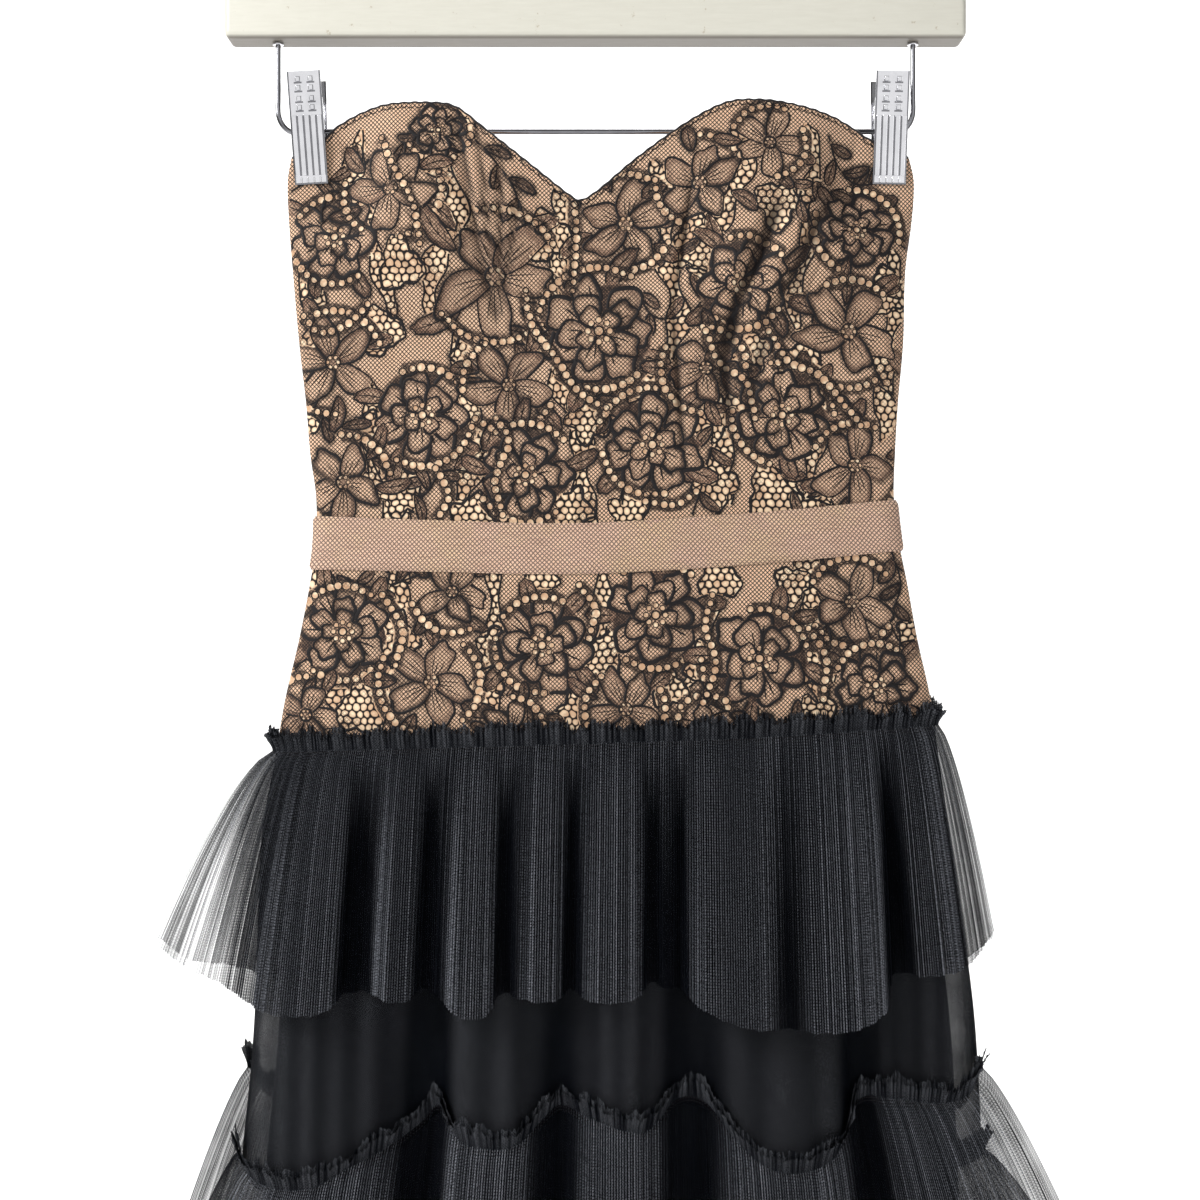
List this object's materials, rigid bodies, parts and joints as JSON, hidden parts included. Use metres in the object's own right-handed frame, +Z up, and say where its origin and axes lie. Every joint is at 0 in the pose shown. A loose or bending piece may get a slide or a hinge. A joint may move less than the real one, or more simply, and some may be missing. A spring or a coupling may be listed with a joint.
{
  "type": "strapless dress on a clip hanger",
  "caption": "Strapless fitted dress in corded floral lace over a nude lining, with a ribbon belt and two gathered tiers of pleated tulle, hung flat from a wooden clip hanger.",
  "frame": {"origin": "inner top of the hanger's hook, where a rail of any kind carries it", "axes": "+X to the right as seen from the dress's front, +Y to its back, +Z up; the front faces -Y"},
  "size_m": [0.568, 0.1198, 0.9354],
  "materials": {
    "lace_cloth": "black corded floral lace laid over a nude lining, matt",
    "ribbon": "rose-beige ribbon with a fine diagonal rib and a soft sheen",
    "tulle": "black pleated tulle, sheer at the edges, matt",
    "skirt_lining": "opaque black lining, faint sheen",
    "zip": "closed concealed zip, dark",
    "painted_wood": "off-white satin paint on wood, small chips on the edges",
    "chrome": "bright chrome plate"
  },
  "bodies": {
    "root": {"front_side_left": "lace_cloth", "front_centre_left": "lace_cloth", "front_centre_right": "lace_cloth", "front_side_right": "lace_cloth", "back_side_left": "lace_cloth", "back_centre_left": "lace_cloth", "back_centre_right": "lace_cloth", "back_side_right": "lace_cloth", "yoke_front_left": "lace_cloth", "yoke_front_centre": "lace_cloth", "yoke_front_right": "lace_cloth", "yoke_back_side_left": "lace_cloth", "yoke_back_left": "lace_cloth", "yoke_back_right": "lace_cloth", "yoke_back_side_right": "lace_cloth", "belt": "ribbon", "underskirt_front": "tulle", "underskirt_back": "tulle", "ruffle_one_front": "tulle", "ruffle_one_back": "tulle", "header_one_front": "tulle", "header_one_back": "tulle", "ruffle_two_front": "tulle", "ruffle_two_back": "tulle", "header_two_front": "tulle", "header_two_back": "tulle", "skirt_lining_front": "skirt_lining", "skirt_lining_back": "skirt_lining", "back_zip": "zip", "hanger_bar": "painted_wood", "hanger_hook": "chrome", "hook_ferrule": "chrome", "riser_left": "chrome", "riser_right": "chrome", "clip_rod": "chrome", "clip_front_left": "chrome", "clip_back_left": "chrome", "clip_front_right": "chrome", "clip_back_right": "chrome"}
  },
  "joints": []
}
